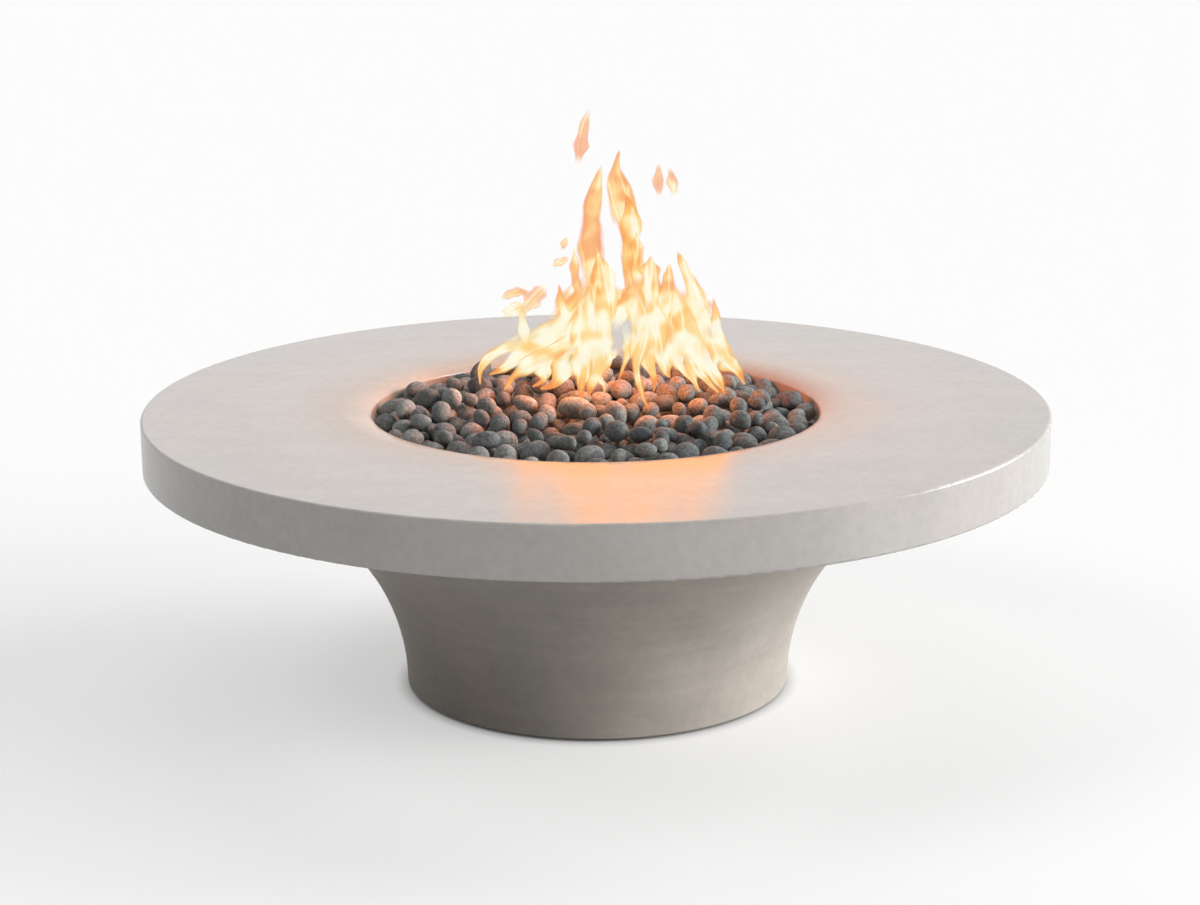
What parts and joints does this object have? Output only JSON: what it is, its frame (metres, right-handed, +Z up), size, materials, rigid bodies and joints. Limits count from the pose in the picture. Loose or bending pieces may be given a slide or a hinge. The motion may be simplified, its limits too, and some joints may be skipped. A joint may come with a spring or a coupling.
{
  "type": "gas fire table",
  "caption": "Round cast-concrete gas fire table: a thick disc on a flared pedestal, a rolled-lip bowl of tumbled lava stones over a ring burner, and rear controls in a recess.",
  "frame": {"origin": "on the floor under the middle of the table", "axes": "+Z up; +Y to the rear, where the control recess faces; the picture looks along +Y"},
  "size_m": [1.4, 1.4, 0.4812],
  "materials": {
    "concrete_top": "satin",
    "concrete_pedestal": "matte",
    "lava_stone": "satin",
    "lava_granules": "matte",
    "rubber": "matte",
    "zinc_steel": "satin",
    "stainless": "satin",
    "cast_aluminium": "matte",
    "brass": "satin",
    "hose_steel": "satin",
    "spring_steel": "satin",
    "knob_black": "matte",
    "pointer_white": "satin",
    "igniter_black": "satin",
    "button_red": "gloss",
    "ceramic_white": "satin",
    "wire_orange": "matte",
    "copper": "satin"
  },
  "bodies": {
    "root": {"table_top": "concrete_top", "pedestal": "concrete_pedestal", "bearing_gasket": "rubber", "slab_inserts": "zinc_steel", "top_washers": "zinc_steel", "top_bolts": "zinc_steel", "foot_inserts": "zinc_steel", "burner_pan": "stainless", "burner": "stainless", "burner_supports": "stainless", "lava_granule_bed": "lava_granules", "lava_stones_lower": "lava_stone", "lava_stones_upper": "lava_stone", "burner_inlet": "zinc_steel", "pan_locknut": "zinc_steel", "air_mixer": "cast_aluminium", "gas_orifice": "brass", "gas_inlet_fitting": "brass", "valve_outlet_fitting": "brass", "hose_nuts": "brass", "burner_hose": "hose_steel", "control_panel": "stainless", "panel_screws": "zinc_steel", "panel_inserts": "brass", "gas_valve": "brass", "valve_cap": "brass", "valve_nut": "zinc_steel", "igniter_barrel": "igniter_black", "igniter_nut": "igniter_black", "igniter_spring": "spring_steel", "pilot_box": "stainless", "electrode_insulator": "ceramic_white", "igniter_electrode": "zinc_steel", "igniter_wire": "wire_orange", "thermocouple": "copper"},
    "air_shutter": {"air_shutter": "stainless"},
    "valve_rotor": {"valve_rotor": "brass", "valve_spring": "spring_steel"},
    "control_knob": {"control_knob": "knob_black", "knob_pointer": "pointer_white", "valve_stem": "zinc_steel"},
    "igniter_button": {"igniter_button": "button_red"},
    "levelling_foot_1": {"foot_pad_1": "rubber", "foot_stud_1": "zinc_steel"},
    "levelling_foot_2": {"foot_pad_2": "rubber", "foot_stud_2": "zinc_steel"},
    "levelling_foot_3": {"foot_pad_3": "rubber", "foot_stud_3": "zinc_steel"},
    "levelling_foot_4": {"foot_pad_4": "rubber", "foot_stud_4": "zinc_steel"}
  },
  "joints": [
    {"name": "valve_turn", "type": "hinge", "parent": "root", "child": "valve_rotor", "pos_m": [-0.055, 0.2, 0.14], "axis": [0, 1, 0], "range_deg": [0, 180]},
    {"name": "knob_press", "type": "slide", "parent": "valve_rotor", "child": "control_knob", "axis": [0, -1, 0], "range_m": [0, 0.004], "stiffness_N_per_m": 1500, "springref_m": -0.003, "deforming": ["valve_spring"]},
    {"name": "igniter_press", "type": "slide", "parent": "root", "child": "igniter_button", "axis": [0, -1, 0], "range_m": [0, 0.006], "stiffness_N_per_m": 1500, "springref_m": -0.003, "deforming": ["igniter_spring"]},
    {"name": "air_shutter_turn", "type": "hinge", "parent": "root", "child": "air_shutter", "pos_m": [0, 0, 0.2755], "axis": [0, 0, 1], "range_deg": [0, 60]},
    {"name": "foot_1_turn", "type": "hinge", "parent": "root", "child": "levelling_foot_1", "pos_m": [0.18526, 0.18526, 0.024], "axis": [0, 0, 1], "range_deg": [-720, 720]},
    {"name": "foot_2_turn", "type": "hinge", "parent": "root", "child": "levelling_foot_2", "pos_m": [-0.18526, 0.18526, 0.024], "axis": [0, 0, 1], "range_deg": [-720, 720]},
    {"name": "foot_3_turn", "type": "hinge", "parent": "root", "child": "levelling_foot_3", "pos_m": [-0.18526, -0.18526, 0.024], "axis": [0, 0, 1], "range_deg": [-720, 720]},
    {"name": "foot_4_turn", "type": "hinge", "parent": "root", "child": "levelling_foot_4", "pos_m": [0.18526, -0.18526, 0.024], "axis": [0, 0, 1], "range_deg": [-720, 720]}
  ]
}
